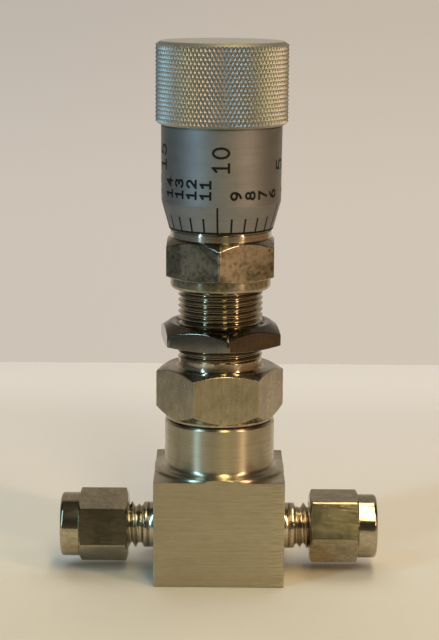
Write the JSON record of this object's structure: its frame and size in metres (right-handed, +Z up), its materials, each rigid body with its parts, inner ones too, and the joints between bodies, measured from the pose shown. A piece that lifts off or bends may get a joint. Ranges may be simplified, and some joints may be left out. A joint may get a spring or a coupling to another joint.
{
  "type": "metering valve",
  "caption": "Straight metering valve: square body, tall panel-mount bonnet, graduated screw handle with knurled knob, and compression tube fittings.",
  "frame": {"origin": "centre of the square block's underside, on the valve's axis", "axes": "+Z up along the valve's axis to the knob, the ports along -X and +X, the front with the dial's reading faces -Y"},
  "size_m": [0.0548, 0.0222, 0.0915],
  "materials": {
    "body_steel": "satin, milled and brushed faces, turned neck",
    "bonnet_steel": "smooth satin flats, cut thread",
    "nut_steel": "smooth satin flats with faint pits",
    "fitting_steel": "smooth, fairly bright",
    "barrel_steel": "finely turned",
    "inner_steel": "finely turned",
    "screw_steel": "dark",
    "dial_metal": "matte satin with black filled marks",
    "knob_metal": "bright satin, diamond knurl",
    "packing": "smooth white"
  },
  "bodies": {
    "valve": {"valve_body": "body_steel", "seat_ring": "inner_steel", "bonnet_gasket": "inner_steel", "bonnet": "bonnet_steel", "lower_packing": "packing", "upper_packing": "packing", "gland": "inner_steel", "packing_nut": "nut_steel", "barrel": "barrel_steel", "barrel_lock_screw": "screw_steel"},
    "needle": {"needle": "inner_steel"},
    "handle": {"thimble": "dial_metal", "knob": "knob_metal", "knob_set_screws": "screw_steel", "stem": "inner_steel", "needle_retainer": "inner_steel"},
    "panel_nut": {"panel_nut": "nut_steel"},
    "left_ferrules": {"left_front_ferrule": "inner_steel", "left_back_ferrule": "inner_steel"},
    "left_nut": {"left_tube_nut": "fitting_steel"},
    "right_ferrules": {"right_front_ferrule": "inner_steel", "right_back_ferrule": "inner_steel"},
    "right_nut": {"right_tube_nut": "fitting_steel"}
  },
  "joints": [
    {"name": "needle_lift", "type": "slide", "parent": "valve", "child": "needle", "axis": [0, 0, 1], "range_m": [-0.00025, 0.0061]},
    {"name": "handle_turn", "type": "hinge", "parent": "needle", "child": "handle", "pos_m": [0, 0, 0.06], "axis": [0, 0, 1], "range_deg": [-144.5, 3456.5]},
    {"name": "panel_nut_travel", "type": "slide", "parent": "valve", "child": "panel_nut", "axis": [0, 0, 1], "range_m": [-0.0034, 0.0057]},
    {"name": "left_ferrule_travel", "type": "slide", "parent": "valve", "child": "left_ferrules", "axis": [-1, 0, 0], "range_m": [0, 0.00317]},
    {"name": "left_nut_turn", "type": "hinge", "parent": "left_ferrules", "child": "left_nut", "pos_m": [-0.0216, 0, 0.0077], "axis": [-1, 0, 0], "range_deg": [0, 900.5]},
    {"name": "right_ferrule_travel", "type": "slide", "parent": "valve", "child": "right_ferrules", "axis": [1, 0, 0], "range_m": [0, 0.00317]},
    {"name": "right_nut_turn", "type": "hinge", "parent": "right_ferrules", "child": "right_nut", "pos_m": [0.0216, 0, 0.0077], "axis": [1, 0, 0], "range_deg": [0, 900.5]}
  ],
  "couplings": [
    {"joint": "handle_turn", "follows": "needle_lift", "rad_per_m": 9894.8},
    {"joint": "left_nut_turn", "follows": "left_ferrule_travel", "rad_per_m": 4947.4},
    {"joint": "right_nut_turn", "follows": "right_ferrule_travel", "rad_per_m": 4947.4}
  ]
}
